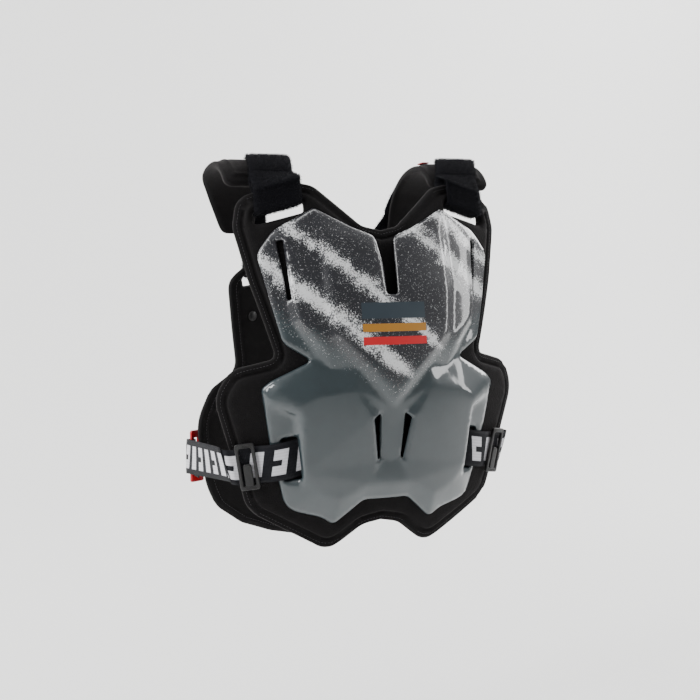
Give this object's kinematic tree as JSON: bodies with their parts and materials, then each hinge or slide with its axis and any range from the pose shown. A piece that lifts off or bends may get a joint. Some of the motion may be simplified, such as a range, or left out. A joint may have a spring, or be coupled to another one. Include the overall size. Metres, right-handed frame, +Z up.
{
  "type": "chest protector",
  "caption": "Hard-shell chest and back protector in its worn shape: two padded plates joined by curved shoulder pads, hook-and-loop straps and elastic side straps.",
  "frame": {"origin": "midway between the two shoulder pads, at the height where their undersides rest on the shoulders", "axes": "+Z up, -Y the wearer's front, -X the wearer's right"},
  "size_m": [0.3374, 0.2503, 0.4289],
  "materials": {
    "pad_fabric": "black stretch fabric over foam, matt",
    "shell_plastic": "moulded plastic, clear gloss coat",
    "back_shell_plastic": "moulded plastic, semi-gloss",
    "hook_and_loop": "hook-and-loop strap, fuzzy",
    "printed_webbing": "woven elastic webbing with a print",
    "slide_plastic": "moulded black plastic",
    "red_plastic": "moulded red plastic"
  },
  "bodies": {
    "root": {"front_pad": "pad_fabric", "back_pad": "pad_fabric", "shoulder_pad_right": "pad_fabric", "shoulder_pad_left": "pad_fabric", "front_shell": "shell_plastic", "back_shell": "back_shell_plastic", "back_rivet_upper_right": "slide_plastic", "back_rivet_upper_left": "slide_plastic", "back_rivet_lower_right": "slide_plastic", "back_rivet_lower_left": "slide_plastic", "front_shoulder_strap_right": "hook_and_loop", "front_shoulder_strap_left": "hook_and_loop", "rear_shoulder_strap_right": "hook_and_loop", "rear_shoulder_strap_left": "hook_and_loop", "side_strap_right": "printed_webbing", "side_strap_left": "printed_webbing", "strap_slide_right": "slide_plastic", "strap_slide_left": "slide_plastic", "strap_hook_right": "red_plastic", "strap_hook_left": "red_plastic", "shoulder_tab": "red_plastic"}
  },
  "joints": []
}
